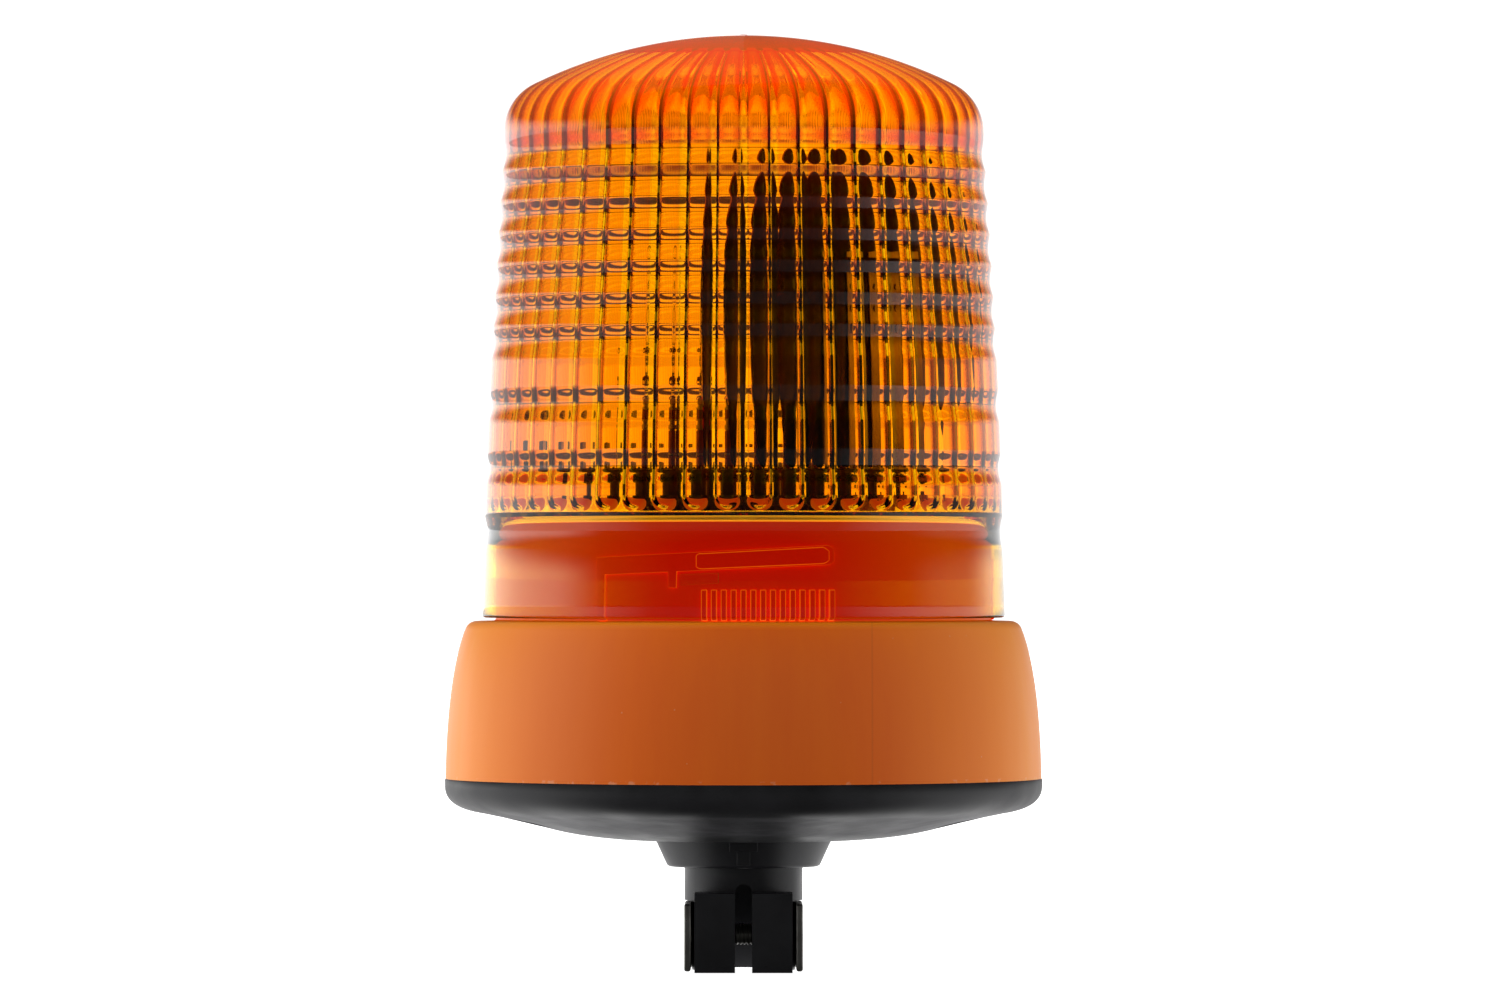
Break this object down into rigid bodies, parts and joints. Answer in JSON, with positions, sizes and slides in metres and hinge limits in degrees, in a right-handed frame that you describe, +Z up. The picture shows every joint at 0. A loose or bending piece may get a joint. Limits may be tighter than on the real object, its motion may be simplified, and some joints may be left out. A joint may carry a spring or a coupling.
{
  "type": "rotating warning beacon",
  "caption": "Amber rotating warning beacon with a ringed dome, round orange housing and a split clamp socket for a pole.",
  "frame": {"origin": "centre of the socket mouth, on the plane the pole enters through", "axes": "+Z up along the pole towards the dome, -Y to the front where the clamp lugs are, +X to the right seen from the front"},
  "size_m": [0.1622, 0.1622, 0.2535],
  "materials": {
    "amber_lens": "polished, see-through",
    "orange_housing": "matt moulded",
    "black_plastic": "satin moulded",
    "rubber": "matt",
    "pale_silicone": "moulded, slightly see-through",
    "steel": "zinc plated",
    "brass": "turned",
    "bronze": "turned",
    "mirror_chrome": "vacuum metallised",
    "bulb_glass": "clear",
    "white_nylon": "moulded",
    "board_green": "lacquered board",
    "red_plastic": "moulded",
    "tungsten": "drawn wire"
  },
  "bodies": {
    "base": {"pole_socket": "black_plastic", "clamp_strap": "steel", "clamp_nut": "steel", "contact_carrier": "white_nylon", "contact_spring": "steel", "collar": "black_plastic", "base_pan": "black_plastic", "seam_gasket": "rubber", "housing": "orange_housing", "deck": "orange_housing", "centre_post": "steel", "post_nut": "steel", "retaining_ring": "steel", "motor_can": "steel", "bulb_holder": "white_nylon", "bulb_base": "steel", "bulb_glass": "bulb_glass", "filament": "tungsten", "bulb_clip": "steel", "suppressor_board": "board_green", "choke": "bronze", "capacitor": "red_plastic", "terminal_block": "white_nylon", "lead_positive": "red_plastic", "lead_negative": "black_plastic", "pan_screw_1": "steel", "pan_screw_2": "steel", "pan_screw_3": "steel", "pan_screw_4": "steel", "socket_screw_1": "steel", "socket_screw_2": "steel", "socket_screw_3": "steel", "deck_screw_1": "steel", "deck_screw_2": "steel", "deck_screw_3": "steel", "motor_screw_1": "steel", "motor_screw_2": "steel"},
    "lens_carrier": {"lens_seal": "pale_silicone"},
    "lens": {"lens_dome": "amber_lens"},
    "rotor": {"ring_gear": "black_plastic", "bearing_bush": "bronze", "rotor_plate": "black_plastic", "reflector": "mirror_chrome", "reflector_shell": "black_plastic", "reflector_bracket": "steel", "reflector_screw": "steel", "counterweight": "steel", "rotor_screw_1": "steel", "rotor_screw_2": "steel", "rotor_screw_3": "steel", "bracket_screw_1": "steel", "bracket_screw_2": "steel"},
    "pinion": {"motor_pinion": "white_nylon", "motor_shaft": "steel"},
    "clamp_slide": {"clamp_washer": "steel"},
    "clamp_screw": {"clamp_bolt": "steel"},
    "contact": {"contact_pin": "brass"}
  },
  "joints": [
    {"name": "lens_rise", "type": "slide", "parent": "base", "child": "lens_carrier", "axis": [0, 0, 1], "range_m": [0, 0.002]},
    {"name": "lens_twist", "type": "hinge", "parent": "lens_carrier", "child": "lens", "pos_m": [0, 0, 0.12], "axis": [0, 0, 1], "range_deg": [0, 36]},
    {"name": "rotor_spin", "type": "hinge", "parent": "base", "child": "rotor", "pos_m": [0, 0, 0.13], "axis": [0, 0, 1], "continuous": true},
    {"name": "pinion_spin", "type": "hinge", "parent": "base", "child": "pinion", "pos_m": [0.03383, -0.01231, 0.125], "axis": [0, 0, 1], "continuous": true},
    {"name": "clamp_draw", "type": "slide", "parent": "base", "child": "clamp_slide", "axis": [1, 0, 0], "range_m": [0, 0.0031]},
    {"name": "clamp_turn", "type": "hinge", "parent": "clamp_slide", "child": "clamp_screw", "pos_m": [0, -0.0174, 0.0103], "axis": [1, 0, 0], "range_deg": [0, 1080]},
    {"name": "contact_press", "type": "slide", "parent": "base", "child": "contact", "axis": [0, 0, 1], "range_m": [0, 0.003], "deforming": ["contact_spring"]}
  ],
  "couplings": [
    {"joint": "lens_rise", "follows": "lens_twist", "m_per_rad": 0.003},
    {"joint": "pinion_spin", "follows": "rotor_spin", "ratio": -5},
    {"joint": "clamp_draw", "follows": "clamp_turn", "m_per_rad": 0.00015915}
  ]
}
